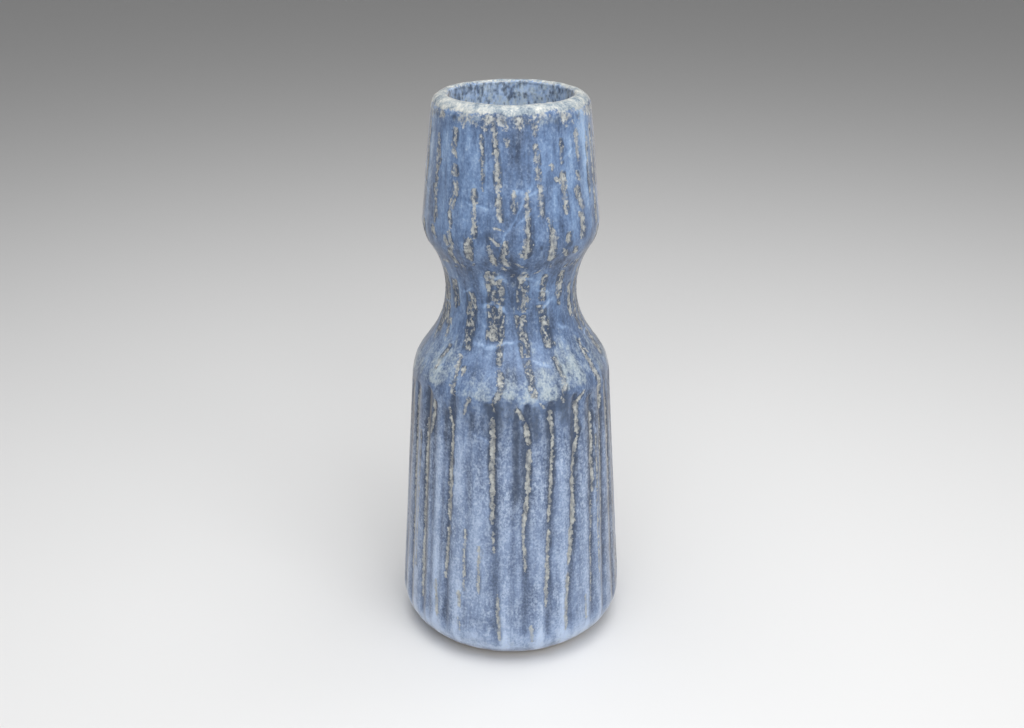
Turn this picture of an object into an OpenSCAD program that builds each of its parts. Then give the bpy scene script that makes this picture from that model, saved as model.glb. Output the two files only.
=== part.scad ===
// Ribbed stoneware bud vase: five luted clay sections under five coats of glaze.
// Millimetres, +Z up, origin at the centre of the foot's resting plane.

/* [Overall] */
// Height from the foot to the crest of the lip
height = 210; // [205:1:220]
// Thickness of the finished wall, clay and both coats of glaze
wall = 6.1; // [5.7:0.1:6.5]
// Thickness of one coat of glaze
glaze_t = 0.8; // [0.5:0.1:1]

/* [Foot and floor] */
// Radius at which the rounded base edge meets the foot
foot_r = 29.5; // [27:0.5:31]
// Radius of the rounding of the base edge
base_round = 14; // [12:0.5:16]
// Inner radius of the turned foot ring
foot_ring_in = 24.5; // [20:0.5:26]
// Outer radius of the turned foot ring
foot_ring_out = 30.5; // [30:0.5:32]
// Height of the glaze line above the foot
glaze_line = 2.2; // [1.8:0.1:3]

/* [Shoulder] */
// Greatest radius of the shoulder
shoulder_r = 37.3; // [36:0.1:39]
// Height of the shoulder's greatest radius
shoulder_z = 103.7; // [100:0.1:106]
// Radius of the shoulder's rounding
shoulder_round = 20.5; // [18:0.5:23]

/* [Waist] */
// Radius of the vase at its narrowest
waist_r = 24.1; // [23:0.1:26]
// Height of the narrowest point
waist_z = 139.4; // [137:0.1:142]
// Radius of the hollow curve of the waist
waist_round = 32.8; // [30:0.1:35]

/* [Cup] */
// Greatest radius of the cup
cup_r = 31.8; // [31:0.1:33]
// Height of the cup's greatest radius
cup_z = 165.2; // [163:0.1:168]
// Radius of the rounded lower corner of the cup
cup_round = 14; // [12:0.5:15]

/* [Lip] */
// Radius of the mouth
mouth_r = 21.8; // [21:0.1:23]
// Radius of the lip's rounding on the outside
lip_out = 4.8; // [4.2:0.1:5.2]

/* [Ribs] */
// Number of carved grooves round the body, with a broad rib between each two
groove_count = 26; // [22:1:32]
// Radius of the tool that carved the grooves
groove_r = 1.9; // [1.5:0.1:2.4]
// Depth of a groove below the glaze surface
groove_depth = 1.2; // [1:0.1:1.5]
// Height at which the grooves stop on the shoulder
groove_top = 109; // [106:0.5:110]

/* [Joints between the sections] */
// Height of the joint between the floor slab and the body
slab_joint = 6.5; // [6.2:0.1:8]
// Height of the joint between the body and the shoulder
shoulder_joint = 111; // [110.5:0.5:114]
// Height of the joint between the neck and the cup
cup_joint = 156; // [152:0.5:158]
// Height of the joint between the cup and the lip
lip_joint = 203; // [200:0.5:204]

/* [Hidden] */
$fn = 120;
arc_step = 5;
above = height + 10;
outside = 60;
lip_in = wall - lip_out;
crest_r = mouth_r + lip_in;

// The outline is a line stretched over five rounds. Each is [centre radius, centre height, radius],
// from the foot up, and the radius is negative where the outline is hollow.
rounds = [
    [foot_r, base_round, base_round],
    [shoulder_r - shoulder_round, shoulder_z, shoulder_round],
    [waist_r + waist_round, waist_z, -waist_round],
    [cup_r - cup_round, cup_z, cup_round],
    [crest_r, height - lip_out, lip_out]
];
last = len(rounds) - 1;

// Direction that a straight stretch of the outline faces, in degrees above level.
function facing(a, b) =
    let (run = [b.x - a.x, b.y - a.y])
    atan2(run.y, run.x) - acos((a.z - b.z) / norm(run));

// Points on a round, between two facings.
function arc(centre, r, from, to) =
    let (steps = max(1, ceil(abs(to - from) / arc_step)))
    [for (i = [0 : steps])
        let (a = from + (to - from) * i / steps)
        [centre.x + r * cos(a), centre.y + r * sin(a)]];

function lower_facing(i) = i == 0 ? -90 : facing(rounds[i - 1], rounds[i]);
function upper_facing(i, inset) =
    i < last ? facing(rounds[i], rounds[i + 1]) : rounds[i].z > inset ? 90 : lower_facing(i);

// The outline from the foot to the lip, moved into the wall by inset.
function outline(inset) =
    [for (i = [0 : last])
        each arc(rounds[i], rounds[i].z - inset, lower_facing(i), upper_facing(i, inset))];

function reversed(points) = [for (i = [len(points) - 1 : -1 : 0]) points[i]];

// Half section of the whole vase with inset taken off every surface.
module half_section(inset) {
    lip = arc([crest_r, height - lip_in], lip_in - inset, 90, 180);
    inside = reversed(outline(wall - inset));
    polygon(concat([[0, inset]], outline(inset), lip, inside, [[0, wall - inset]]));
}

// What lies on the inner side of the middle of the wall.
module inner_half() {
    polygon(concat([[0, wall / 2]], outline(wall / 2), [[crest_r, above], [0, above]]));
}

module band(low, high) {
    translate([0, low])
        square([outside, high - low]);
}

module clay_band(low, high) {
    intersection() {
        half_section(glaze_t);
        band(low, high);
    }
}

module glaze_band(low, high) {
    intersection() {
        difference() {
            half_section(0);
            half_section(glaze_t);
        }
        band(low, high);
    }
}

module outer_glaze(low, high) {
    rotate_extrude()
        difference() {
            glaze_band(low, high);
            inner_half();
        }
}

// The grooves follow the straight flare of the body, and run out on the base edge.
module grooves() {
    lean = facing(rounds[0], rounds[1]);
    stand_off = base_round + groove_r - groove_depth;
    start = [foot_r + stand_off * cos(lean), base_round + stand_off * sin(lean)];
    for (i = [0 : groove_count - 1])
        rotate([0, 0, 360 * i / groove_count])
            translate([start.x, 0, start.y])
                rotate([0, -lean, 0])
                    translate([0, 0, -start.y])
                        cylinder(r = groove_r, h = groove_top / cos(lean));
}

module floor_slab() {
    color("#8a7f70")
        rotate_extrude()
            union() {
                clay_band(0, slab_joint);
                translate([foot_ring_in, 0])
                    square([foot_ring_out - foot_ring_in, 2 * glaze_t]);
            }
}

module body_wall() {
    color("#9a8f7f")
        difference() {
            rotate_extrude()
                clay_band(slab_joint, shoulder_joint);
            grooves();
        }
}

module shoulder_neck() {
    color("#8a7f70")
        rotate_extrude()
            clay_band(shoulder_joint, cup_joint);
}

module cup_wall() {
    color("#9a8f7f")
        rotate_extrude()
            clay_band(cup_joint, lip_joint);
}

module lip_coil() {
    color("#8a7f70")
        rotate_extrude()
            clay_band(lip_joint, above);
}

module body_glaze() {
    color("#6f8fc4")
        difference() {
            outer_glaze(glaze_line, shoulder_joint);
            grooves();
        }
}

module neck_glaze() {
    color("#5d7fb6")
        outer_glaze(shoulder_joint, cup_joint);
}

module cup_glaze() {
    color("#4f74b0")
        outer_glaze(cup_joint, lip_joint);
}

module lip_glaze() {
    color("#d9dccf")
        rotate_extrude()
            glaze_band(lip_joint, above);
}

module liner_glaze() {
    color("#86a5c8")
        rotate_extrude()
            intersection() {
                glaze_band(0, lip_joint);
                inner_half();
            }
}

floor_slab();
body_wall();
shoulder_neck();
cup_wall();
lip_coil();
body_glaze();
neck_glaze();
cup_glaze();
lip_glaze();
liner_glaze();
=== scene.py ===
"""A ribbed stoneware bud vase in a matt, mottled blue glaze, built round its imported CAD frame.

The glaze coats are fine skins with real relief. One outline runs from the foot, up the outside, over
the lip, down the inside and across the floor, and every skin is a stretch of it.

Heights, radii and depths are in millimetres until the points of a mesh are made, in metres. Angles are
measured from the front, positive to the right: in degrees where a mark is placed, and in radians in the
grids of points.
"""

import itertools
import math
from collections import namedtuple

import bpy
import numpy as np
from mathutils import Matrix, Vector


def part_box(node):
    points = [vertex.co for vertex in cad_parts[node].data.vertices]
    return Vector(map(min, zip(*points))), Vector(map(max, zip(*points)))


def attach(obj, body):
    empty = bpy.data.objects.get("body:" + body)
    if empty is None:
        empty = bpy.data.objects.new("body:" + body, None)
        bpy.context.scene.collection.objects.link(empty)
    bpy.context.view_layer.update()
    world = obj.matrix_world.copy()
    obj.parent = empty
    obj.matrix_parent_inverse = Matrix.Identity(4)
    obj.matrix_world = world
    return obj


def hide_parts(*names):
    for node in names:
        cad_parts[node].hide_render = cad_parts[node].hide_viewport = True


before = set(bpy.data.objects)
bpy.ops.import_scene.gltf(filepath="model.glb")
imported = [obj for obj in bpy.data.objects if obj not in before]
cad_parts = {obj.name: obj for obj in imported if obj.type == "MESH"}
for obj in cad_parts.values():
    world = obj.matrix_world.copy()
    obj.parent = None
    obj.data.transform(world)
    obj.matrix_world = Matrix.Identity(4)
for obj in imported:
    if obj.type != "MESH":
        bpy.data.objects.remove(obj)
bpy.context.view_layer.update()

MM = 0.001
ROOT = "root"

# Heights of the joints between the pieces, from the frame.
GLAZE_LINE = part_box("body_glaze")[0].z / MM
SLAB_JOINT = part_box("body_wall")[0].z / MM
SHOULDER_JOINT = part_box("neck_glaze")[0].z / MM
CUP_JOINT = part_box("cup_glaze")[0].z / MM
LIP_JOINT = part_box("lip_glaze")[0].z / MM
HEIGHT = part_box("lip_glaze")[1].z / MM
FLOOR_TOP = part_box("liner_glaze")[0].z / MM
BODY_MIDDLE = (GLAZE_LINE + SHOULDER_JOINT) / 2

# The driving sizes, as in the CAD: radii, heights and roundings of the outline, and the wall with its coats.
FOOT_R, BASE_ROUND = 29.5, 14
SHOULDER_R, SHOULDER_Z, SHOULDER_ROUND = 37.3, 103.7, 20.5
WAIST_R, WAIST_Z, WAIST_ROUND = 24.1, 139.4, 32.8
CUP_R, CUP_Z, CUP_ROUND = 31.8, 165.2, 14
MOUTH_R = 21.8
GLAZE = 0.8
WALL = FLOOR_TOP + GLAZE
LIP_OUT = 4.8
LIP_IN = WALL - LIP_OUT
CREST_R = MOUTH_R + LIP_IN

# The outline is a line stretched over these rounds. The radius is negative where the outline is hollow.
Round = namedtuple("Round", "r z radius")
ROUNDS = (
    Round(FOOT_R, BASE_ROUND, BASE_ROUND),
    Round(SHOULDER_R - SHOULDER_ROUND, SHOULDER_Z, SHOULDER_ROUND),
    Round(WAIST_R + WAIST_ROUND, WAIST_Z, -WAIST_ROUND),
    Round(CUP_R - CUP_ROUND, CUP_Z, CUP_ROUND),
    Round(CREST_R, HEIGHT - LIP_OUT, LIP_OUT),
)

# The spacing of the outline's points, and the height of the first and last row of a skin's faces.
STEP = 0.1
RIM_ROW = 0.02

# A streak where the blue has drawn back from the clay, and a carved groove, both from the top down.
Streak = namedtuple("Streak", "angle top end_angle bottom half_width")
Groove = namedtuple("Groove", "angle end_angle top depth")

# Half the width of a full groove, the height where grooves run out, and the length of a scooped top.
GROOVE_REACH = 4.2
GROOVE_BOTTOM = 9
SCOOP = 3.5

# Patterns have their stated size across at this radius.
PATTERN_R = 36


# ---------------------------------------------------------------------------------------------- outline


def facing(a, b):
    """Direction that the straight between two rounds faces, in radians above level."""
    dr, dz = b.r - a.r, b.z - a.z
    return math.atan2(dz, dr) - math.acos((a.radius - b.radius) / math.hypot(dr, dz))


def arc(centre_r, centre_z, radius, start, end):
    """Points and facings along one round."""
    steps = max(2, math.ceil(abs(end - start) * abs(radius) / STEP))
    turn = np.linspace(start, end, steps + 1)
    return np.c_[centre_r + radius * np.cos(turn), centre_z + radius * np.sin(turn), turn]


def side(inset):
    """The outline from the foot to the lip's crest, moved into the wall by inset."""
    turns = [-math.pi / 2] + [facing(a, b) for a, b in zip(ROUNDS, ROUNDS[1:])] + [math.pi / 2]
    stretches = []
    for i, at in enumerate(ROUNDS):
        over_crest = at.radius < inset and i == len(ROUNDS) - 1
        end = turns[i] if over_crest else turns[i + 1]
        stretches.append(arc(at.r, at.z, at.radius - inset, turns[i], end))
    return np.concatenate(stretches)


def whole_outline():
    """The way from the foot to the floor's middle in even steps: its run, radius, height and normal."""
    outside = side(0)
    lip = arc(CREST_R, HEIGHT - LIP_IN, LIP_IN, math.pi / 2, math.pi)
    inside = side(WALL)[::-1] + (0, 0, math.pi)
    inside[:, 2] = np.maximum(inside[:, 2], math.pi / 2)
    floor = np.array([[0, WALL, math.pi / 2]])
    points = np.concatenate([outside, lip, inside, floor])
    run = np.r_[0, np.cumsum(np.hypot(np.diff(points[:, 0]), np.diff(points[:, 1])))]
    keep = np.r_[True, np.diff(run) > 1e-6]
    even = np.arange(0, run[-1], STEP)
    r, z, turn = (np.interp(even, run[keep], column) for column in points[keep].T)
    return even, r, z, np.cos(turn), np.sin(turn)


RUN, RUN_R, RUN_Z, RUN_NR, RUN_NZ = whole_outline()
CREST_RUN = RUN[np.argmax(RUN_Z)]


def run_at(height, inside=False):
    """How far along the outline a height is reached, outside or inside."""
    part = RUN >= CREST_RUN if inside else RUN <= CREST_RUN
    z, run = RUN_Z[part], RUN[part]
    order = np.argsort(z, kind="stable")
    return float(np.interp(height, z[order], run[order]))


# ---------------------------------------------------------------------------------------------- noise


def smooth(low, high, value):
    """0 below low, 1 above high, and an even curve between."""
    t = np.clip((value - low) / (high - low), 0, 1)
    return t * t * (3 - 2 * t)


def bell(value, width):
    """1 at 0, and close to 0 beyond twice the width."""
    return np.exp(-((value / width) ** 2))


def lattice(x, y, z, seed):
    """A repeatable number from 0 to 1 for each whole-numbered point."""
    mixed = (x * 374761393 + y * 668265263 + z * 1442695041 + seed * 974634777) & 0xFFFFFFFF
    mixed = ((mixed ^ (mixed >> 13)) * 1274126177) & 0xFFFFFFFF
    return ((mixed ^ (mixed >> 16)) & 0xFFFF) / 0xFFFF


def noise(x, y, z, seed):
    """Smooth noise from -1 to 1, one cell per unit."""
    x, y, z = np.broadcast_arrays(x, y, z)
    cell = [np.floor(a).astype(np.int64) for a in (x, y, z)]
    part = [smooth(0, 1, a - c) for a, c in zip((x, y, z), cell)]
    total = 0
    for corner in itertools.product((0, 1), repeat=3):
        weight = math.prod(p if c else 1 - p for p, c in zip(part, corner))
        total = total + weight * lattice(*(i + c for i, c in zip(cell, corner)), seed)
    return 2 * total - 1


def mottle(angle, run, across, along, seed, octaves=2):
    """Noise on the vase's skin, with cells of about across by along millimetres."""
    total = 0
    for octave in range(octaves):
        k = 2**octave
        x = PATTERN_R * np.sin(angle) * k / across
        y = PATTERN_R * np.cos(angle) * k / across
        total = total + noise(x, y, run * k / along, seed + octave) / k
    return total


def line_noise(run, cell, seed, octaves=2):
    """Noise along one line."""
    return sum(noise(run * 2**k / cell, 0.5, 0.5, seed + 31 * k) / 2**k for k in range(octaves))


# ---------------------------------------------------------------------------------------------- pattern


def wrapped(angle):
    """An angle brought between half a turn back and half a turn on."""
    return (angle + math.pi) % (2 * math.pi) - math.pi


def beside(angle, at, half_width):
    """1 on the upright line at so many degrees, fading to either side of it."""
    return bell(wrapped(angle - math.radians(at)), math.radians(half_width))


def carved_grooves():
    """The grooves round the body: those at the front as listed, and the rest spaced unevenly."""
    front = [
        Groove(-78, -77, 105, 0.5), Groove(-67, -66, 107, 0.8), Groove(-54, -53, 108, 1.0),
        Groove(-47, -48, 104, 0.4), Groove(-38, -42, 103, 0.4), Groove(-34.5, -36, 109, 0.95),
        Groove(-22, -25, 104, 0.3), Groove(-10.5, -7.5, 108, 1.1), Groove(3, -1, 109, 0.45),
        Groove(9, 6, 108, 1.1), Groove(23, 18.5, 108, 0.95), Groove(39, 30, 108.5, 1.05),
        Groove(50.5, 46, 106, 0.8), Groove(61, 57, 108, 0.8), Groove(70, 69, 107, 0.6),
    ]
    rng = np.random.default_rng(7)
    back = []
    for angle in np.arange(81, 278, 12.4):
        turn = angle + rng.uniform(-2.5, 2.5)
        end = turn + rng.uniform(-3, 3)
        top = rng.uniform(105, 109.5)
        back.append(Groove(turn, end, top, rng.choice([0.45, 0.9, 1.1])))
    return front + back


def broken(column, rng, length):
    """A column of short ragged marks, one under another."""
    marks = []
    top = column.top
    while top > column.bottom + 1:
        t = (column.top - top) / (column.top - column.bottom)
        angle = column.angle + (column.end_angle - column.angle) * t + rng.uniform(-1.5, 1.5)
        tall = length * rng.uniform(0.6, 1.4)
        slant = rng.uniform(-3, 3)
        half_width = column.half_width * rng.uniform(0.5, 1.1)
        marks.append(Streak(angle + slant, top, angle - slant, top - tall, half_width))
        top -= tall * rng.uniform(0.6, 1.15)
    return marks


def body_streaks(grooves):
    """The clay-coloured lines in the grooves of the body."""
    front = [
        Streak(-77, 100, -76, 40, 0.4), Streak(-67, 104, -66, 22, 0.55), Streak(-54, 96, -54, 19, 0.6),
        Streak(-47, 105, -50, 90, 0.6), Streak(-37, 104, -34, 97, 0.5), Streak(-34, 98, -34.5, 58, 0.65),
        Streak(-35, 58, -36.5, 33, 0.5), Streak(-24, 110, -26.5, 102, 0.5), Streak(-37, 112, -34, 108, 0.4),
        Streak(-10, 109, -10, 104, 0.4), Streak(-10, 103, -10, 60, 0.72), Streak(-9.5, 58, -9, 48, 0.4),
        Streak(-7, 32, -6, 11, 0.7), Streak(3, 107, 7.5, 101, 0.75), Streak(8, 101, 10, 91, 0.9),
        Streak(10, 91, 9, 72, 0.85), Streak(9, 73, 6, 58, 0.85), Streak(6, 60, 7.5, 40, 0.5),
        Streak(16, 108, 19, 105, 0.35), Streak(22, 105, 23.5, 94, 0.8), Streak(23.5, 95, 20, 60, 0.5),
        Streak(20, 58, 18, 24, 0.7), Streak(29, 109, 31, 106, 0.4), Streak(46, 109, 39, 104.5, 0.6),
        Streak(39.5, 106, 39.5, 92, 0.95), Streak(39.5, 93, 37, 84, 0.35), Streak(38.5, 92, 34.5, 78, 0.6),
        Streak(37, 84, 35, 76, 0.3), Streak(35, 78, 35, 56, 0.95), Streak(34, 58, 31.5, 40, 0.95),
        Streak(31, 38, 29, 12, 0.85), Streak(50.5, 100, 50, 66, 0.55), Streak(48.5, 64, 46, 18, 0.3),
        Streak(61, 112, 60.5, 97, 1.1), Streak(60, 96, 57, 50, 0.35), Streak(-25, 58, -25, 30, 0.3),
        Streak(-17, 52, -16.5, 30, 0.5), Streak(-43, 32, -41.5, 15, 0.6), Streak(-28, 31, -27, 23, 0.9),
        Streak(-27.5, 20, -27, 13, 0.5), Streak(10, 19, 10.5, 10, 0.5), Streak(42, 26, 42, 13, 0.4),
        Streak(-60, 90, -61, 30, 0.25), Streak(70, 100, 69, 60, 0.5), Streak(54, 90, 53, 30, 0.25),
    ]
    rng = np.random.default_rng(11)
    back = []
    for groove in grooves:
        if not 72 < groove.angle < 280:
            continue
        drift = groove.end_angle - groove.angle
        top = rng.uniform(96, 109)
        break_at = rng.uniform(45, 80)
        bottom = rng.uniform(10, 40)
        wide = rng.uniform(0.5, 1.0)
        middle = groove.angle + 0.4 * drift
        end = groove.angle + 0.8 * drift
        back.append(Streak(groove.angle, top, middle, break_at, wide))
        back.append(Streak(middle, break_at - 2, end, bottom, wide * 0.8))
        low = groove.angle + rng.uniform(4, 8)
        back.append(Streak(low, rng.uniform(20, 34), low - 1, 11, rng.uniform(0.3, 0.8)))
    return front + back


def cup_streaks():
    """The clay-coloured marks on the cup, most of them long, with wider ones at its turned-in corner."""
    rng = np.random.default_rng(5)
    front = [
        Streak(-58, 200, -57, 168, 0.5), Streak(-60, 168, -56, 163, 1.1), Streak(-20, 202, -18, 182, 0.35),
        Streak(-24, 184, -23, 166, 0.7), Streak(-27, 167, -28, 157, 1.7), Streak(-30, 162, -28, 158, 0.9),
        Streak(-12, 206, -8, 188, 0.75), Streak(-9, 192, -8.5, 182, 1.1), Streak(-8.5, 183, -6.5, 172, 0.9),
        Streak(-11, 171, -6, 169.5, 1.3), Streak(-14, 168, -7, 164, 0.8), Streak(-13.5, 165, -10.5, 156, 1.0),
        Streak(-3, 167, -5, 160, 1.0), Streak(-6, 161, -2, 156, 1.1), Streak(2, 184, 2, 175, 0.6),
        Streak(10, 184, 10.5, 166, 0.65), Streak(10.5, 168, 8.5, 159, 1.4), Streak(5, 162, 9, 159.5, 0.9),
        Streak(15, 206, 16, 200, 0.7), Streak(16, 199, 17.5, 190, 0.65), Streak(17.5, 191, 18.5, 185, 1.0),
        Streak(18.5, 186, 19.5, 173, 0.75), Streak(24, 174, 26, 168, 0.5), Streak(26.5, 170, 27, 157, 1.3),
        Streak(27, 192, 28, 188, 0.4), Streak(30, 187, 34, 184, 0.8), Streak(35, 200, 35, 190, 0.4),
        Streak(35.5, 189, 37, 173, 0.8), Streak(38, 168, 38, 163, 0.9), Streak(35, 162, 40, 158, 0.8),
        Streak(49, 202, 51, 190, 1.0), Streak(46, 162, 48, 158, 1.0), Streak(50, 168, 50, 163, 0.7),
        Streak(-3, 201, -3, 197, 0.5), Streak(1, 158, 12, 155, 0.6), Streak(69, 202, 70, 166, 0.6),
        Streak(62, 200, 62, 176, 0.3),
    ]
    front += broken(Streak(-41, 203, -38, 178, 1.2), rng, 6.5)
    front += broken(Streak(-41, 181, -40, 160, 0.9), rng, 6)
    front += broken(Streak(49, 188, 51, 167, 1.1), rng, 4.5)
    front += broken(Streak(-45, 166, -43, 157, 1.1), rng, 3.5)
    front += broken(Streak(-57, 196, -57, 172, 0.6), rng, 6)
    back = []
    for angle in np.arange(78, 290, 11.5):
        turn = angle + rng.uniform(-3, 3)
        top = rng.uniform(190, 205)
        end = turn + rng.uniform(-2, 2)
        whole = Streak(turn, top, end, rng.uniform(168, 180), rng.uniform(0.5, 1.1))
        back += [whole] if rng.random() < 0.6 else broken(whole, rng, 6.5)
        low = turn + rng.uniform(-4, 4)
        back.append(Streak(low, rng.uniform(166, 171), low + rng.uniform(-2, 2), 157, rng.uniform(0.8, 1.6)))
    return front + back


def neck_columns():
    """Where the glaze of the waist and shoulder has crawled: dark strips that hold short marks."""
    front = [
        Streak(-56, 147, -54, 137, 1.9), Streak(-36, 144, -34, 123, 1.9), Streak(-36, 120, -35, 110, 0.7),
        Streak(-15.5, 154, -15, 127, 2.0), Streak(-8, 151, -8, 126, 1.1), Streak(9, 153, 10, 138, 1.9),
        Streak(8, 137, 11, 122, 1.7), Streak(10.5, 122, 13, 110, 1.3), Streak(27, 152, 27, 141, 1.2),
        Streak(26, 140, 31, 124, 1.9), Streak(43, 152, 44, 140, 1.7), Streak(58, 146, 60, 132, 1.2),
        Streak(-68, 150, -66, 128, 1.4), Streak(70, 150, 70, 126, 1.4), Streak(59, 124, 60, 112, 0.8),
    ]
    rng = np.random.default_rng(3)
    back = []
    for angle in np.arange(84, 286, 15.5):
        turn = angle + rng.uniform(-4, 4)
        half_width = rng.uniform(1.2, 2.0)
        top = rng.uniform(144, 154)
        end = turn + rng.uniform(-2, 2)
        back.append(Streak(turn, top, end, rng.uniform(112, 130), half_width))
    return front + back


def neck_streaks(columns):
    """Short marks in the columns, drips that run on to the shoulder's edge, and ticks under the cup."""
    rng = np.random.default_rng(17)
    marks = [
        Streak(-9, 127, -7.5, 119, 0.6), Streak(-7.5, 119, -6, 112, 0.8), Streak(-5.5, 113, -9, 108, 0.7),
        Streak(31, 122, 33, 112, 0.6), Streak(33, 113, 29, 108, 0.5), Streak(58, 122, 60.5, 110, 0.7),
        Streak(-60, 132, -58, 124, 0.5), Streak(15, 143, 8, 139.5, 1.1), Streak(46, 147, 42, 142, 1.2),
        Streak(-50, 124, -53, 114, 0.5), Streak(-32, 119, -31, 115, 0.6), Streak(-38, 122, -37, 116, 0.5),
    ]
    for column in columns:
        marks += broken(column._replace(half_width=0.4 * column.half_width), rng, 3.0)
    for angle in np.arange(-150, 150, 9.5):
        turn = angle + rng.uniform(-4, 4)
        slant = rng.uniform(-4, 4)
        top = rng.uniform(153, 157)
        marks.append(Streak(turn - slant, top, turn + slant, top - rng.uniform(1.5, 3), 0.45))
    return marks


def cross_lines():
    """Thin pale lines where one coat of glaze ran or was dragged over another: two ends and a half width."""
    front = [
        Streak(14, 185, -7, 165, 0.3), Streak(0, 183, 8, 181.5, 0.6), Streak(8, 181, 18, 182.5, 0.5),
        Streak(12, 176, 2, 171, 0.3), Streak(-30, 179, -15, 176, 0.3), Streak(36, 192, 46, 195, 0.35),
        Streak(-18, 152, -2, 150.5, 0.5), Streak(-26, 139, -13, 141, 0.7), Streak(-13, 141, -3, 138, 0.5),
        Streak(6, 151, 22, 149, 0.4), Streak(27, 139, 37, 140.5, 0.6), Streak(-30, 126, -10, 125, 0.6),
        Streak(-10, 126, 3, 127.5, 0.4), Streak(14, 121, 27, 119, 0.4), Streak(40, 131, 52, 128, 0.5),
        Streak(-45, 143, -33, 145, 0.5), Streak(22, 146, 33, 144.5, 0.4), Streak(-22, 96, -12, 93, 0.3),
    ]
    rng = np.random.default_rng(29)
    back = []
    for angle in np.arange(70, 290, 13):
        for low, high in ((122, 152), (162, 196)):
            height = rng.uniform(low, high)
            span, drop = rng.uniform(8, 18), rng.uniform(-3, 3)
            back.append(Streak(angle, height + drop, angle + span, height - drop, rng.uniform(0.3, 0.6)))
    return front + back


def cross_field(lines, angle, run, r, z):
    """How much of a pale cross line lies at each point."""
    pale = np.zeros(np.broadcast(angle, z).shape)
    for i, line in enumerate(lines):
        low, high = sorted((line.top, line.bottom))
        rows = np.nonzero((z[:, 0] > low - 3) & (z[:, 0] < high + 3))[0]
        if not len(rows):
            continue
        x = wrapped(angle - math.radians(line.angle)) * r[rows]
        y = z[rows] - line.top
        end_x = math.radians(line.end_angle - line.angle) * float(np.mean(r[rows]))
        end_y = line.bottom - line.top
        length = math.hypot(end_x, end_y)
        along = (x * end_x + y * end_y) / length
        wobble = 0.9 * mottle(angle, run[rows], 4, 4, 500 + i)
        off = np.abs((x * end_y - y * end_x) / length + wobble)
        wide = line.half_width * (1 + 0.5 * mottle(angle, run[rows], 2, 2, 530 + i))
        shape = smooth(wide + 0.5, wide - 0.4, off) * smooth(-1.5, 1.5, along)
        shape = shape * smooth(-1.5, 1.5, length - along)
        pale[rows] = np.maximum(pale[rows], shape)
    return pale


def streak_fields(streaks, angle, run, r, z, seed):
    """How deep inside a streak each point lies, and how dark the edges of the streaks make it."""
    ragged = 0.26 * mottle(angle, run, 1.5, 2.4, seed)
    ragged = ragged + 0.16 * mottle(angle, run, 0.8, 0.8, seed + 5, octaves=1)
    ragged = ragged * (0.45 + 0.55 * smooth(105, 115, z))
    deepest = np.full(np.broadcast(angle, z).shape, -9.0)
    darkest = np.zeros_like(deepest)
    for i, streak in enumerate(streaks):
        rows = np.nonzero((z[:, 0] < streak.top) & (z[:, 0] > streak.bottom))[0]
        if not len(rows):
            continue
        own = seed + 5 * i
        at, along = z[rows], run[rows]
        length = streak.top - streak.bottom
        t = (streak.top - at) / length
        wander = 0.3 * line_noise(along, 8, own) + 0.16 * line_noise(along, 2.4, own + 1)
        centre = np.radians(streak.angle + (streak.end_angle - streak.angle) * t) + wander / PATTERN_R
        from_end = np.minimum(t, 1 - t) * length
        taper = smooth(0, min(3.0, 0.3 * length), from_end) ** 0.5
        swell = 1 + 0.4 * line_noise(along, 6, own + 2) + 0.35 * line_noise(along, 2.0, own + 3)
        thinner = 1 - 0.22 * smooth(112, 120, at) - 0.15 * smooth(50, 25, at)
        width = streak.half_width * taper * np.clip(swell, 0.12, None) * thinner
        across = wrapped(angle - centre) * r[rows]
        inside = width - np.abs(across) + ragged[rows] * smooth(0, 0.4, width)
        deepest[rows] = np.maximum(deepest[rows], np.where(width < 0.06, -9, inside))
        lean = 0.15 + 0.45 * line_noise(along, 7, own + 4)
        margin = 0.65 + 0.5 * line_noise(along, 4, own + 2)
        rim = smooth(-0.5, 0.35, width + margin - np.abs(across - lean)) * smooth(0, 1, from_end)
        darkest[rows] = np.maximum(darkest[rows], rim)
    return deepest, darkest


def column_fields(columns, angle, run, r, z):
    """How dark the strips of crawled glaze are."""
    dark = np.zeros(np.broadcast(angle, z).shape)
    for i, column in enumerate(columns):
        t = (column.top - z) / (column.top - column.bottom)
        centre = np.radians(column.angle + (column.end_angle - column.angle) * np.clip(t, 0, 1))
        centre = centre + 0.5 * line_noise(run, 6, 300 + i) / PATTERN_R
        half_width = column.half_width * (1.35 + 0.35 * line_noise(run, 4, 330 + i))
        across = smooth(half_width + 0.6, half_width - 0.9, np.abs(wrapped(angle - centre)) * r)
        dark = np.maximum(dark, across * smooth(-0.06, 0.06, t) * smooth(-0.06, 0.06, 1 - t))
    return dark * np.clip(0.85 + 0.5 * mottle(angle, run, 1.6, 2.2, 340), 0, 1)


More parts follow.
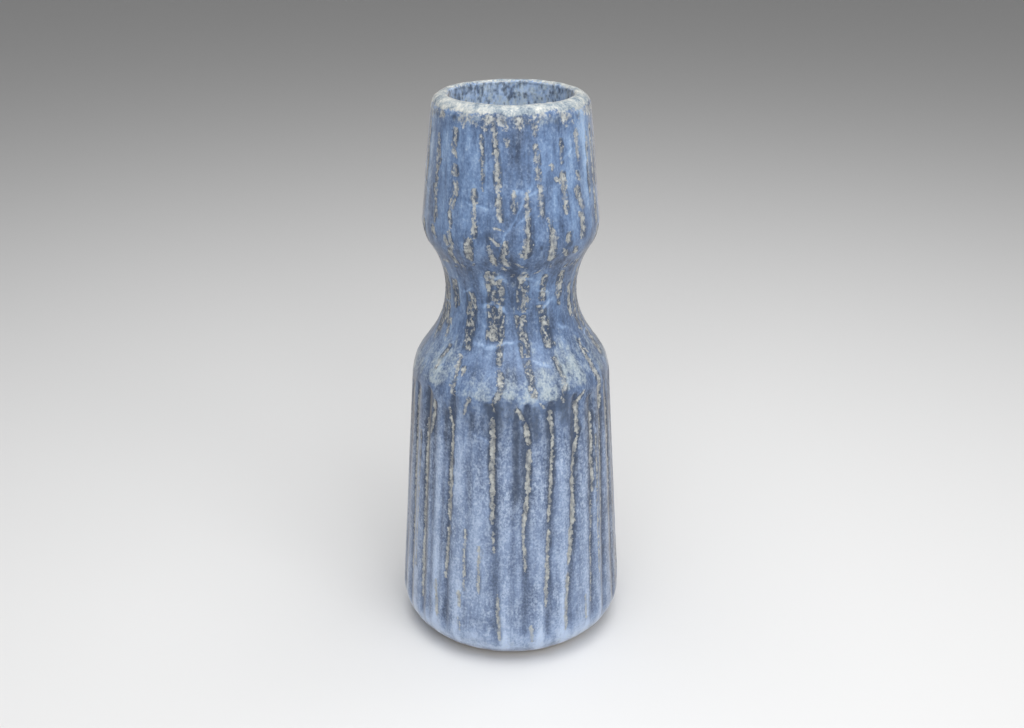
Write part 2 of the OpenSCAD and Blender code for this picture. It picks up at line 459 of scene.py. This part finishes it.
def groove_fields(grooves, angle, r, z, run):
    """Depth of the carved grooves, and from 0 to 1 how near their middles and their scooped tops are."""
    cut = np.zeros(np.broadcast(angle, z).shape)
    near = np.zeros_like(cut)
    scooped = np.zeros_like(cut)
    for i, groove in enumerate(grooves):
        t = (groove.top - z) / (groove.top - GROOVE_BOTTOM)
        drift = 0.45 * line_noise(run, 22, 400 + i)
        centre = np.radians(groove.angle + (groove.end_angle - groove.angle) * np.clip(t, 0, 1))
        centre = centre + drift / PATTERN_R
        across = np.abs(wrapped(angle - centre) * r)
        rise = np.clip((z - groove.top + SCOOP) / SCOOP, 0, 1)
        crown = np.sqrt(1 - rise**2)
        reach = GROOVE_REACH * (0.65 + 0.35 * groove.depth) * crown + 0.01
        shape = np.clip(1 - np.sqrt(across**2 + 0.2) / reach, 0, 1)
        fade = smooth(GROOVE_BOTTOM - 1, GROOVE_BOTTOM + 6, z)
        scoop = smooth(groove.top - 16, groove.top - 2, z)
        cut = np.maximum(cut, groove.depth * (1 + 0.25 * scoop) * shape ** (2 - 0.7 * scoop) * fade)
        near = np.maximum(near, smooth(0.4, 0.95, shape) * fade * min(1, groove.depth + 0.1))
        scooped = np.maximum(scooped, smooth(0, 0.35, shape) * scoop * min(1, 0.4 + groove.depth))
    return cut, near, scooped


def hollows(angle, run, z, scooped):
    """How dark the hollows under the shoulder's edge are: pooled glaze, and painted shade."""
    dark = 0.3 * scooped
    for at, wide, top, bottom, strength in HOLLOWS:
        edge = top + 1.0 * mottle(angle, 0, 3, 1, 105)
        fall = smooth(bottom - 4, bottom + 6, z) * smooth(edge + 0.6, edge - 1.2, z)
        dark = np.maximum(dark, strength * beside(angle, at, wide) * fall)
    return dark * np.clip(0.85 + 0.4 * mottle(angle, run, 2, 6, 98), 0, 1)


def bands(angle, places):
    """Soft upright bands, each as an angle, a half width in degrees and a strength."""
    return sum(strength * beside(angle, at, wide) for at, wide, strength in places)


def shoulder_places():
    """Pale caps of glaze on the shoulder's edge, and dark hollows under it, with pooled glaze and painted
    shade.

    Each is an angle, a half width in degrees, two heights and a strength. A cap's lower height comes
    first, and a hollow's upper one.
    """
    caps = [
        (-68, 7, 111, 122, 0.6), (-52, 8, 110, 124, 0.95), (-40, 5, 112, 120, 0.7), (-19, 9, 108.5, 114, 0.8),
        (-1, 5, 109.5, 117, 0.85), (10, 6, 108, 113, 1.0), (21, 6, 108, 118, 1.0), (34, 5, 111, 122, 0.9),
        (43, 6, 110.5, 124, 1.0), (55, 6, 114, 124, 0.5), (69, 7, 111, 120, 0.6),
    ]
    # The hollows are dark with pooled glaze and with painted shade.
    dark = [
        (-60, 3, 105, 92, 0.5), (-52, 4, 107, 88, 0.9), (-39, 3, 106, 96, 0.7), (-24, 6, 107, 97, 0.5),
        (-13, 3.5, 108, 94, 0.8), (-5, 6, 109, 97, 1.0), (3.5, 3, 107, 68, 0.8), (14, 3.5, 107, 91, 0.75),
        (20, 3, 105, 93, 0.6), (30, 6, 109, 97, 0.85), (35, 2, 105, 78, 0.5), (45, 3, 105, 88, 0.55),
        (64, 3, 106, 90, 0.5), (74, 4, 106, 90, 0.5),
    ]
    rng = np.random.default_rng(23)
    for angle in np.arange(83, 285, 14):
        turn = angle + rng.uniform(-4, 4)
        low = rng.uniform(108, 112)
        caps.append((turn, rng.uniform(5, 9), low, low + rng.uniform(6, 13), rng.uniform(0.5, 1)))
        wide = rng.uniform(2.5, 5)
        bottom = low - rng.uniform(12, 30)
        dark.append((turn + 7, wide, low - 2, bottom, rng.uniform(0.5, 0.95)))
    return caps, dark


GROOVES = carved_grooves()
NECK_COLUMNS = neck_columns()
STREAKS = body_streaks(GROOVES) + cup_streaks() + neck_streaks(NECK_COLUMNS)
CROSS_LINES = cross_lines()
CAPS, HOLLOWS = shoulder_places()

# Broad lighter and darker areas: angle, half width in degrees, height, half height and strength.
# They are partly the glaze's own tone and partly painted light and shade.
TONE_AND_PAINTED_LIGHT_AREAS = [
    (0, 13, 192, 12, -0.14), (-30, 13, 190, 14, 0.06), (56, 12, 192, 12, 0.2), (32, 14, 168, 10, -0.06),
    (56, 12, 168, 9, -0.07), (-56, 12, 120, 10, 0.08), (60, 16, 120, 9, -0.15), (30, 13, 121, 8, -0.04),
    (-30, 13, 88, 15, 0.26), (0, 12, 90, 14, -0.04), (54, 12, 90, 14, -0.04), (-30, 13, 52, 18, 0.1),
    (60, 16, 40, 34, -0.11), (-30, 13, 20, 10, -0.10), (74, 8, 40, 40, -0.2), (-4, 15, 50, 20, 0.07),
    (0, 12, 20, 10, 0.07),
]

# Paler upright bands on the cup and on the body's ribs: angle, half width in degrees and strength.
# The band at -71 degrees, along the cup's left edge, is painted light.
CUP_BANDS = [
    (-71, 5, 1.1), (-48, 4, 0.5), (-30, 5, 0.4), (-1, 6, 0.3), (24, 4, 0.4), (43, 3.5, 0.9), (59, 4, 1.0),
]
CREST_BANDS = [
    (-72, 2, 0.5), (-61, 2.5, 1.0), (-49, 1.5, 0.5), (-43, 2.5, 1.1), (-29, 3, 0.5), (-18, 4, 0.4),
    (-3, 3, 0.6), (15, 2.5, 0.6), (28, 3, 0.8), (43, 2.5, 0.7), (53, 2, 0.5), (64, 2.5, 0.5),
]


def tone_and_painted_light(angle, z):
    """How much lighter or darker the broad areas are, as glaze tone and as painted light and shade."""
    total = 0
    for at, wide, height, tall, strength in TONE_AND_PAINTED_LIGHT_AREAS:
        total = total + strength * beside(angle, at, wide) * bell(z - height, tall)
    return total


def shoulder_glaze(angle, run, z, scooped):
    """How whitish the glaze is on the shoulder."""
    pale = np.zeros(np.broadcast(angle, z).shape)
    brushed = 0.8 + 0.22 * mottle(angle, run, 1.4, 6, 101)
    brushed = brushed + 0.4 * mottle(angle, run, 1.8, 1.8, 106, octaves=3)
    for at, wide, low, high, strength in CAPS:
        edge = low + 1.0 * mottle(angle, 0, 3, 1, 104)
        cap = strength * beside(angle, at, 1.2 * wide) * smooth(edge - 1.4, edge + 1.0, z)
        pale = np.maximum(pale, cap * smooth(high + 7, high - 6, z))
    return 1.12 * pale * brushed * (1 - 0.8 * scooped)


def drip_edge(angle):
    """Height of the ragged lower edge of the lip's cream glaze."""
    return 207.7 + 0.6 * mottle(angle, 0, 6, 1, 90) + 0.35 * mottle(angle, 0, 2, 1, 92)


def bare_clay(angle, run, z, streaks, crawled):
    """How deep inside bare clay each point is: in streaks, in drips under the lip, and in crawled strips."""
    edge = drip_edge(angle)
    drips = 1.2 * mottle(angle, run, 3.4, 3.0, 95) - 0.25 - 1.5 * smooth(1.5, 6.5, edge - z)
    drips = drips - 4 * smooth(-0.3, 1.0, z - edge) - 4 * smooth(5, 8, edge - z)
    crumbled = 1.1 * mottle(angle, run, 2.4, 3.2, 96) - 0.32
    crumbled = crumbled - 3 * (1 - smooth(0.3, 0.8, crawled))
    return np.maximum(np.maximum(streaks, drips), crumbled)


def darkening(angle, run, z, rim, crawled, scooped):
    """How dark the glaze is where it has drawn back, crawled or pooled, with painted shade in the hollows."""
    patchy = np.clip(0.9 + 0.7 * mottle(angle, run, 2.2, 3.5, 116), 0, 1.3)
    rim_dark = 0.4 + 0.45 * smooth(45, 105, z) - 0.13 * smooth(158, 170, z)
    under_lip = bell(z - 205.6, 1.6) * (0.3 + 0.5 * mottle(angle, run, 2.4, 1.8, 118))
    spots = smooth(0.35, 1.0, mottle(angle, run, 2.6, 4, 117))
    shade = np.maximum(rim * patchy * rim_dark, 0.95 * crawled)
    shade = np.maximum(shade, under_lip)
    shade = np.maximum(shade, 0.92 * hollows(angle, run, z, scooped))
    return np.maximum(shade, spots * (0.75 * bell(z - 163, 9) + 0.5 * bell(z - 199, 7)))


def whitening(angle, run, z, scooped):
    """How whitish it is: on the shoulder, low on the base, under the lip, on the neck, and as painted light
    on the cup's sides.
    """
    pale = shoulder_glaze(angle, run, z, scooped) + 0.25 * smooth(14, 9, z) * smooth(3, 9, z)
    pale = pale + 0.4 * bell(z - 205.8, 1.8) * (1 + mottle(angle, run, 3, 2, 102))
    flecks = 0.4 * smooth(0.35, 0.9, mottle(angle, run, 1.6, 5, 103))
    pale = pale + flecks * smooth(112, 122, z) * smooth(160, 152, z)
    # The paler bands down the cup's two sides, at -72 and 56 degrees, are painted light.
    pale = pale + 0.35 * beside(angle, -72, 8) * bell(z - 186, 18)
    return pale + 0.2 * beside(angle, 56, 11) * bell(z - 190, 14)


def lightness(angle, run, z, near, crest, on_body):
    """How light the blue is: lightest on the crests of the ribs, and darkest in the grooves."""
    below_corner = bell(z - 155, 3.5) * (0.6 + 0.5 * mottle(angle, run, 5, 3, 97))
    tone = 0.42 - 0.04 * on_body + (0.24 + 0.16 * smooth(48, 18, z)) * crest
    tone = tone - (0.3 + 0.22 * smooth(50, 85, z)) * near - 0.2 * below_corner
    tone = tone + 0.11 * on_body * smooth(80, 20, z) - 0.27 * smooth(9, 4, z)
    tone = tone + smooth(18, 10, z) * (0.28 + 0.16 * mottle(angle, run, 4, 3, 119))
    tone = tone - 0.17 * bell(z - 96, 13)
    tone = tone + 0.12 * mottle(angle, run, 3.5, 30, 111)
    tone = tone + (0.1 + 0.06 * smooth(108, 118, z)) * mottle(angle, run, 7, 9, 112)
    # The broad areas add painted light and shade to the glaze's tone.
    return tone + 0.07 * mottle(angle, run, 1.5, 8, 113) + tone_and_painted_light(angle, z)


def outer_pattern(angle, run, r, z):
    """The relief and the colour fields of the outer glaze at each point of a skin."""
    cut, near, scooped = groove_fields(GROOVES, angle, r, z, run)
    streaks, rim = streak_fields(STREAKS, angle, run, r, z, 50)
    crawled = column_fields(NECK_COLUMNS, angle, run, r, z)
    crossed = cross_field(CROSS_LINES, angle, run, r, z)
    on_body = smooth(112, 100, z)
    crest = bands(angle, CREST_BANDS) * on_body + bands(angle, CUP_BANDS) * smooth(158, 166, z)

    bare = bare_clay(angle, run, z, streaks, crawled) * (0.52 + 0.5 * on_body)
    shade = darkening(angle, run, z, rim, crawled, scooped) * (1 - 0.8 * crossed)
    tone = lightness(angle, run, z, near, crest, on_body) + 0.3 * crossed
    on_ribs = on_body * smooth(8, 18, z) * (1 - near) * (1 - 0.4 * smooth(86, 100, z))
    frost = on_ribs * (0.55 + 0.35 * crest + 0.25 * mottle(angle, run, 5, 16, 115)) + 0.12
    pale = np.clip(whitening(angle, run, z, scooped), 0, 1)
    lilac = 0.15 + 0.75 * smooth(122, 80, z) + 0.3 * bell(z - 120, 10)
    cream = smooth(-1.0, 1.0, z - drip_edge(angle))

    soft_ribs = 0.14 * mottle(angle, run, 5, 40, 120) * (1 - near)
    grain = 0.03 * mottle(angle, run, 1.1, 1.4, 121)
    worn = smooth(0.0, 0.35, bare)
    relief = soft_ribs + grain - cut - 0.15 * worn + 0.1 * rim * (1 - worn) - 0.12 * crawled
    relief = relief + 0.1 * cream + 0.12 * pale * smooth(128, 122, z) + 0.08 * crossed
    return relief, {
        "bare": np.clip(bare, -3, 3),
        "shade": np.clip(shade, 0, 1),
        "tone": np.clip(tone, 0, 1),
        "frost": np.clip(frost, 0, 1),
        "pale": pale,
        "lilac": np.clip(lilac, 0, 1) + np.zeros_like(relief),
        "cream": cream,
    }


def inner_pattern(angle, run, r, z):
    """The relief and the colour fields of the glaze inside the vase."""
    rings = 0.12 * np.sin(z * 2 * math.pi / 7.5 + 0.6 * mottle(angle, 0, 20, 1, 130))
    relief = rings * smooth(200, 190, z) * smooth(WALL + 1, WALL + 8, z)
    relief = relief + 0.03 * mottle(angle, run, 1.4, 1.6, 131)
    high = smooth(194, 207, z)
    speckle = 0.45 * mottle(angle, run, 1.3, 1.3, 132) + 0.3 * mottle(angle, run, 6, 4, 134) + 0.42 * high
    pale = 0.6 + 0.6 * mottle(angle, run, 2.0, 2.4, 135) - 0.1 * high
    tone = 1.0 + 0.12 * mottle(angle, run, 4, 8, 133) - 0.15 * high
    flat = np.zeros_like(relief)
    return relief, {
        "bare": flat - 3,
        "shade": np.clip(speckle, 0, 1),
        "tone": np.clip(tone, 0, 1),
        "frost": flat + 0.5,
        "pale": np.clip(pale, 0, 1),
        "lilac": flat + 0.4,
        "cream": flat,
    }


def lip_pattern(angle, run, r, z):
    """The lip is the outer glaze up to its crest, and turns into the inner glaze just inside the mouth."""
    relief, fields = outer_pattern(angle, run, r, z)
    inner_relief, inner_fields = inner_pattern(angle, run, r, z)
    edge = CREST_RUN + 0.9 + 0.3 * mottle(angle, 0, 3, 1, 140)
    inward = smooth(-0.4, 0.4, run - edge)
    mixed = {name: fields[name] * (1 - inward) + inner_fields[name] * inward for name in fields}
    worn_edge = 0.3 - np.abs(run - edge) + 0.25 * mottle(angle, 0, 4, 1, 142)
    mixed["bare"] = np.maximum(mixed["bare"], worn_edge)
    pooled = 0.7 * bell(run - edge - 1.0, 0.7) * np.clip(0.8 + 0.5 * mottle(angle, 0, 4, 1, 143), 0, 1)
    mixed["shade"] = np.maximum(mixed["shade"], pooled)
    swell = 0.12 * mottle(angle, run, 16, 12, 141) * smooth(204, 208, z)
    return relief * (1 - inward) + inner_relief * inward + swell, mixed


def clay_pattern(angle, run, r, z):
    """The clay under the body's glaze follows its grooves."""
    cut, _, _ = groove_fields(GROOVES, angle, r, z, run)
    return -cut, {}


# ---------------------------------------------------------------------------------------------- skins


def surface(angle, run, lift):
    """Points on the outline at each run, turned to each angle and lifted along the normal, in metres."""
    nr, nz = (np.interp(run, RUN, part) for part in (RUN_NR, RUN_NZ))
    r = np.interp(run, RUN, RUN_R) + nr * lift
    z = np.interp(run, RUN, RUN_Z) + nz * lift
    return np.stack([r * np.sin(angle), -r * np.cos(angle), z + 0 * angle], axis=-1) * MM


def grid_faces(rows, columns, start, flip):
    """Quads of a grid of points that closes on itself sideways."""
    row, column = np.meshgrid(np.arange(rows - 1), np.arange(columns), indexing="ij")
    a = start + row * columns + column
    b = start + row * columns + (column + 1) % columns
    quads = np.stack([a, b, b + columns, a + columns], axis=-1).reshape(-1, 4)
    return quads[:, ::-1] if flip else quads


def edge_faces(top, bottom, columns):
    """Quads that join two rings of points."""
    column = np.arange(columns)
    after = (column + 1) % columns
    return np.stack([top + column, top + after, bottom + after, bottom + column], axis=-1)


def skin(name, start, end, spacing, columns, pattern, depth=GLAZE, lift=0.0):
    """A closed shell along a stretch of the outline, with a fine front and a plainer back below it.

    The first and last rows of faces are very narrow, so that the rims don't bend the light on the front.
    """
    rows = max(5, round((end - start) / spacing))
    back_rows = max(5, rows // 6)
    angle = np.linspace(-math.pi, math.pi, columns, endpoint=False)[None, :]

    def relief_at(count):
        run = np.r_[start, np.linspace(start + RIM_ROW, end - RIM_ROW, count - 2), end][:, None]
        r, z = np.interp(run, RUN, RUN_R), np.interp(run, RUN, RUN_Z)
        relief, fields = pattern(angle, run, r, z)
        return run, relief + np.zeros((count, columns)), fields

    run, front, fields = relief_at(rows)
    back_run, back, back_fields = relief_at(back_rows)
    back[0], back[-1] = front[0], front[-1]
    points = np.concatenate([
        surface(angle, run, lift + front).reshape(-1, 3),
        surface(angle, back_run, lift + back - depth).reshape(-1, 3),
    ])
    second = rows * columns
    faces = np.concatenate([
        grid_faces(rows, columns, 0, False),
        grid_faces(back_rows, columns, second, True),
        edge_faces(second, 0, columns),
        edge_faces((rows - 1) * columns, second + (back_rows - 1) * columns, columns),
    ])
    mesh = bpy.data.meshes.new(name)
    mesh.from_pydata(points.tolist(), [], faces.tolist())
    for field, values in fields.items():
        both = [v + np.zeros((n, columns)) for v, n in ((values, rows), (back_fields[field], back_rows))]
        layer = mesh.attributes.new(field, "FLOAT", "POINT")
        layer.data.foreach_set("value", np.concatenate([v.ravel() for v in both]).astype(np.float32))
    mesh.polygons.foreach_set("use_smooth", np.ones(len(faces), bool))
    piece = bpy.data.objects.new(name, mesh)
    bpy.context.scene.collection.objects.link(piece)
    return piece


def settle(piece, material, node):
    """Gives a piece its material, hangs it on the body it rides on, and hides the CAD node it stands for."""
    piece.data.materials.append(material)
    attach(piece, ROOT)
    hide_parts(node)


# ---------------------------------------------------------------------------------------------- materials


def srgb(*levels):
    """A colour given in the 0 to 255 levels of a screen, as the linear values that shaders use."""
    parts = [level / 255 for level in levels]
    return [p / 12.92 if p <= 0.04045 else ((p + 0.055) / 1.055) ** 2.4 for p in parts] + [1]


class Shader:
    """A short way to add and join the nodes of one material."""

    def __init__(self, name):
        self.material = bpy.data.materials.new(name)
        self.material.use_nodes = True
        self.tree = self.material.node_tree
        self.principled = self.tree.nodes["Principled BSDF"]

    def node(self, kind, **settings):
        made = self.tree.nodes.new("ShaderNode" + kind)
        for key, value in settings.items():
            setattr(made, key, value)
        return made

    def feed(self, socket, value):
        if isinstance(value, bpy.types.NodeSocket):
            self.tree.links.new(value, socket)
        else:
            socket.default_value = value

    def field(self, name):
        return self.node("Attribute", attribute_name=name).outputs["Fac"]

    def math(self, operation, a, b=0.0, c=0.0):
        made = self.node("Math", operation=operation)
        for socket, value in zip(made.inputs, (a, b, c)):
            self.feed(socket, value)
        return made.outputs[0]

    def times(self, a, b):
        return self.math("MULTIPLY", a, b)

    def total(self, first, *others):
        for other in others:
            first = self.math("ADD", first, other)
        return first

    def spread(self, value, amount):
        """A value from 0 to 1, spread over amount with its middle at 0."""
        return self.math("MULTIPLY_ADD", value, amount, -amount / 2)

    def step(self, value, low, high):
        """0 below low, 1 above high, and an even curve between."""
        made = self.node("MapRange", interpolation_type="SMOOTHSTEP")
        self.feed(made.inputs["Value"], value)
        self.feed(made.inputs["From Min"], low)
        self.feed(made.inputs["From Max"], high)
        return made.outputs["Result"]

    def noise(self, size, stretch=1.0, detail=2.0, roughness=0.5):
        """Noise with features of about size millimetres, and longer than wide by stretch, from 0 to 1."""
        place = self.node("TexCoord").outputs["Object"]
        scaled = self.node("Mapping")
        self.feed(scaled.inputs["Vector"], place)
        scaled.inputs["Scale"].default_value = (1, 1, 1 / stretch)
        made = self.node("TexNoise")
        self.feed(made.inputs["Vector"], scaled.outputs["Vector"])
        made.inputs["Scale"].default_value = 1 / (size * MM)
        made.inputs["Detail"].default_value = detail
        made.inputs["Roughness"].default_value = roughness
        return made.outputs["Fac"]

    def mix(self, factor, a, b):
        made = self.node("Mix", data_type="RGBA")
        self.feed(made.inputs["Factor"], factor)
        self.feed(made.inputs["A"], a)
        self.feed(made.inputs["B"], b)
        return made.outputs["Result"]

    def ramp(self, value, stops):
        made = self.node("ValToRGB")
        self.feed(made.inputs["Fac"], value)
        band = made.color_ramp
        while len(band.elements) < len(stops):
            band.elements.new(0.5)
        for element, (place, colour) in zip(band.elements, stops):
            element.position = place
            element.color = colour
        return made.outputs["Color"]

    def bump(self, height, distance, strength):
        made = self.node("Bump")
        self.feed(made.inputs["Height"], height)
        made.inputs["Distance"].default_value = distance * MM
        made.inputs["Strength"].default_value = strength
        self.feed(self.principled.inputs["Normal"], made.outputs["Normal"])


def blue_glaze(s, fine, hair, patches, cloudy):
    """Clear blue above and lilac blue below, frosted on the ribs and whitish on the shoulder."""
    tone = s.total(s.field("tone"), s.spread(fine, 0.52), s.spread(hair, 0.3), cloudy)
    clear_blue = s.ramp(tone, [
        (0.05, srgb(52, 68, 94)),
        (0.36, srgb(82, 106, 142)),
        (0.6, srgb(106, 135, 175)),
        (0.95, srgb(152, 180, 213)),
    ])
    lilac_blue = s.ramp(tone, [
        (0.05, srgb(64, 78, 102)),
        (0.36, srgb(102, 119, 149)),
        (0.6, srgb(133, 151, 182)),
        (0.95, srgb(187, 204, 231)),
    ])
    blue = s.mix(s.field("lilac"), clear_blue, lilac_blue)

    flakes = s.total(s.times(cloudy, 0.9), s.times(patches, 0.5), s.times(fine, 0.5))
    frosted = s.times(s.step(flakes, 0.42, 0.66), s.field("frost"))
    blue = s.mix(s.times(frosted, 0.7), blue, srgb(188, 203, 225))

    aqua = s.mix(fine, srgb(144, 162, 180), srgb(204, 211, 203))
    flecks = s.total(s.spread(hair, 0.5), s.spread(fine, 1.3), s.spread(patches, 0.9))
    # The pale field also holds painted light down the cup's two sides.
    whitish = s.step(s.total(s.field("pale"), flecks, cloudy), 0.05, 1.25)
    return s.mix(s.times(whitish, 0.78), blue, aqua)


def veiled_clay(s, crumbs, patches, cloudy, blue):
    """The clay of the marks, under a thin and patchy veil of the blue round them."""
    clay = s.ramp(crumbs, [
        (0.3, srgb(96, 100, 106)),
        (0.4, srgb(148, 150, 149)),
        (0.54, srgb(182, 184, 180)),
        (0.75, srgb(206, 209, 206)),
    ])
    veil = s.step(s.math("MULTIPLY_ADD", cloudy, -1.5, patches), 0.4, 0.68)
    return s.mix(s.math("MULTIPLY_ADD", veil, 0.45, 0.12), clay, blue)


def cream_glaze(s, fine, cloud):
    """The mottled cream of the lip."""
    return s.ramp(s.total(s.times(cloud, 0.6), s.times(fine, 0.4)), [
        (0.33, srgb(76, 92, 112)),
        (0.45, srgb(135, 147, 156)),
        (0.63, srgb(198, 199, 193)),
    ])


def glaze_material():
    """The matt glaze of every coat. The skins' own fields say where it is blue, cream, dark or bare."""
    s = Shader("stoneware_glaze")
    fine = s.noise(0.75, 1.2, 3.0, 0.6)
    hair = s.noise(0.8, 8.0, 2.0)
    cloud = s.noise(3.2, 1.5, 3.0, 0.6)
    patches = s.noise(1.6, 1.6, 4.0, 0.7)
    crumbs = s.noise(1.4, 1.2, 3.0, 0.6)
    cloudy = s.times(s.spread(cloud, 0.5), s.math("MULTIPLY_ADD", s.field("lilac"), -0.8, 1.3))
    rough_edge = s.total(s.spread(fine, 1.8), s.spread(crumbs, 1.6))

    blue = blue_glaze(s, fine, hair, patches, cloudy)
    shade = s.step(s.math("MULTIPLY_ADD", rough_edge, 0.5, s.field("shade")), 0.1, 0.95)
    blue = s.mix(s.times(shade, 0.85), blue, srgb(54, 67, 88))
    bare = s.total(s.field("bare"), rough_edge)
    colour = s.mix(s.step(bare, -0.3, 0.25), blue, veiled_clay(s, crumbs, patches, cloudy, blue))
    creamy = s.step(s.math("MULTIPLY_ADD", rough_edge, 0.5, s.field("cream")), 0.25, 0.75)
    colour = s.mix(creamy, colour, cream_glaze(s, fine, cloud))

    s.feed(s.principled.inputs["Base Color"], colour)
    dry = s.math("MULTIPLY_ADD", s.step(bare, -0.15, 0.15), 0.2, s.math("MULTIPLY_ADD", fine, 0.25, 0.4))
    s.feed(s.principled.inputs["Roughness"], dry)
    s.principled.inputs["Specular IOR Level"].default_value = 0.4
    s.principled.inputs["Sheen Weight"].default_value = 0.5
    s.principled.inputs["Sheen Roughness"].default_value = 0.35
    s.principled.inputs["Sheen Tint"].default_value = srgb(238, 228, 210)
    height = s.total(s.times(fine, 0.8), s.times(s.step(bare, -0.15, 0.1), -0.8))
    s.bump(height, 0.16, 0.8)
    return s.material


def clay_material():
    """Bare fired stoneware, warm grey-brown with dark grog."""
    s = Shader("stoneware_clay")
    fine = s.noise(0.7, 1.0, 3.0, 0.65)
    grog = s.noise(1.6, 1.0, 2.0)
    body = s.ramp(fine, [(0.3, srgb(126, 108, 90)), (0.5, srgb(158, 140, 120)), (0.75, srgb(182, 166, 146))])
    colour = s.mix(s.step(grog, 0.64, 0.7), body, srgb(92, 74, 58))
    s.feed(s.principled.inputs["Base Color"], colour)
    s.feed(s.principled.inputs["Roughness"], s.math("MULTIPLY_ADD", fine, 0.2, 0.72))
    s.principled.inputs["Specular IOR Level"].default_value = 0.25
    s.bump(s.math("ADD", fine, grog), 0.15, 0.7)
    return s.material


def paper_material():
    """The plain pale floor."""
    s = Shader("pale_paper")
    s.feed(s.principled.inputs["Base Color"], srgb(226, 226, 226))
    s.principled.inputs["Roughness"].default_value = 0.9
    s.principled.inputs["Specular IOR Level"].default_value = 0.1
    return s.material


# ---------------------------------------------------------------------------------------------- vase


def build_vase():
    """Every skin of the vase, and the clay that stays as it is in the frame.

    Skins that can be seen have more columns of faces than those deep inside.
    """
    glaze = glaze_material()
    clay = clay_material()
    line, middle = run_at(GLAZE_LINE), run_at(BODY_MIDDLE)
    shoulder, cup, lip = run_at(SHOULDER_JOINT), run_at(CUP_JOINT), run_at(LIP_JOINT)
    lip_inside, cup_inside = run_at(LIP_JOINT, inside=True), run_at(CUP_JOINT, inside=True)
    shoulder_inside, middle_inside = run_at(SHOULDER_JOINT, inside=True), run_at(BODY_MIDDLE, inside=True)
    slab, centre = run_at(SLAB_JOINT), RUN[-1]
    seen, hidden = 520, 260

    for name, start, end, spacing, columns, pattern, node in (
        ("body_glaze_lower", line, middle, 0.46, seen, outer_pattern, "body_glaze"),
        ("body_glaze_upper", middle, shoulder, 0.46, seen, outer_pattern, "body_glaze"),
        ("neck_glaze_skin", shoulder, cup, 0.42, seen, outer_pattern, "neck_glaze"),
        ("cup_glaze_skin", cup, lip, 0.4, seen, outer_pattern, "cup_glaze"),
        ("lip_glaze_skin", lip, lip_inside, 0.35, seen, lip_pattern, "lip_glaze"),
        ("liner_glaze_cup", lip_inside, cup_inside, 0.45, seen, inner_pattern, "liner_glaze"),
        ("liner_glaze_waist", cup_inside, shoulder_inside, 0.9, hidden, inner_pattern, "liner_glaze"),
        ("liner_glaze_body", shoulder_inside, middle_inside, 0.9, hidden, inner_pattern, "liner_glaze"),
        ("liner_glaze_floor", middle_inside, centre, 0.9, hidden, inner_pattern, "liner_glaze"),
    ):
        settle(skin(name, start, end, spacing, columns, pattern), glaze, node)

    thickness = WALL - 2 * GLAZE
    for name, start, end in (("body_clay_lower", slab, middle), ("body_clay_upper", middle, shoulder)):
        piece = skin(name, start, end, 1.5, seen, clay_pattern, depth=thickness, lift=-GLAZE)
        settle(piece, clay, "body_wall")
    for node in ("floor_slab", "shoulder_neck", "cup_wall", "lip_coil"):
        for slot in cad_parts[node].material_slots:
            slot.material = clay


# ---------------------------------------------------------------------------------------------- studio


def build_floor():
    """A pale floor that sweeps up far behind the vase."""
    half_width, front, bend, radius, top = 5.0, -2.5, 2.4, 1.2, 3.5
    turns = np.linspace(0, math.pi / 2, 17)
    line = [(front, 0.0)] + [(bend + radius * math.sin(t), radius * (1 - math.cos(t))) for t in turns]
    line.append((bend + radius, top))
    points = [(x, y, z) for x in (-half_width, half_width) for y, z in line]
    count = len(line)
    faces = [(i, i + 1, count + i + 1, count + i) for i in range(count - 1)]
    mesh = bpy.data.meshes.new("floor")
    mesh.from_pydata(points, [], [f[::-1] for f in faces])
    mesh.polygons.foreach_set("use_smooth", [True] * len(faces))
    mesh.materials.append(paper_material())
    floor = bpy.data.objects.new("floor", mesh)
    bpy.context.scene.collection.objects.link(floor)


def add_light(name, place, target, size, energy):
    """One soft box, with its size in metres and its energy in watts."""
    light = bpy.data.lights.new(name, "AREA")
    light.shape = "RECTANGLE"
    light.size, light.size_y = size
    light.energy = energy
    lamp = bpy.data.objects.new(name, light)
    lamp.location = place
    lamp.rotation_euler = (Vector(target) - Vector(place)).to_track_quat("-Z", "Y").to_euler()
    bpy.context.scene.collection.objects.link(lamp)


def build_studio():
    """Soft light from the right, the front and above, and a dim white world."""
    low = (0, 0, 0.1)
    add_light("key_light", (0.55, -0.8, 0.75), low, (0.7, 0.6), 3.0)
    add_light("front_light", (0, -1.0, 0.7), low, (0.9, 0.6), 4.4)
    add_light("top_light", (0, -0.1, 0.75), low, (0.6, 0.6), 4.0)
    add_light("edge_light", (0.5, -0.3, 0.7), (0, 0, 0), (0.4, 0.4), 0.6)
    add_light("back_light", (0.25, 0.15, 0.7), (0, 0, 0), (0.25, 0.25), 0.25)
    world = bpy.data.worlds.new("studio")
    world.use_nodes = True
    world.node_tree.nodes["Background"].inputs["Color"].default_value = (1, 1, 1, 1)
    world.node_tree.nodes["Background"].inputs["Strength"].default_value = 0.25
    bpy.context.scene.world = world
    bpy.context.scene.view_settings.view_transform = "Standard"


def build_camera():
    """A camera at arm's length and a little above the lip, pitched down to take in the whole vase."""
    focal_px, frame_px, aside, distance, rise, pitch = 1200, 1024, 0.35, 416.3, 81.6, 23.88
    data = bpy.data.cameras.new("camera")
    data.sensor_width = 36
    data.lens = focal_px / frame_px * data.sensor_width
    data.clip_start = 0.02
    camera = bpy.data.objects.new("camera", data)
    camera.location = (aside * MM, -distance * MM, (HEIGHT + rise) * MM)
    camera.rotation_euler = (math.radians(90 - pitch), 0, 0)
    bpy.context.scene.collection.objects.link(camera)
    bpy.context.scene.camera = camera


build_camera()
build_vase()
build_floor()
build_studio()
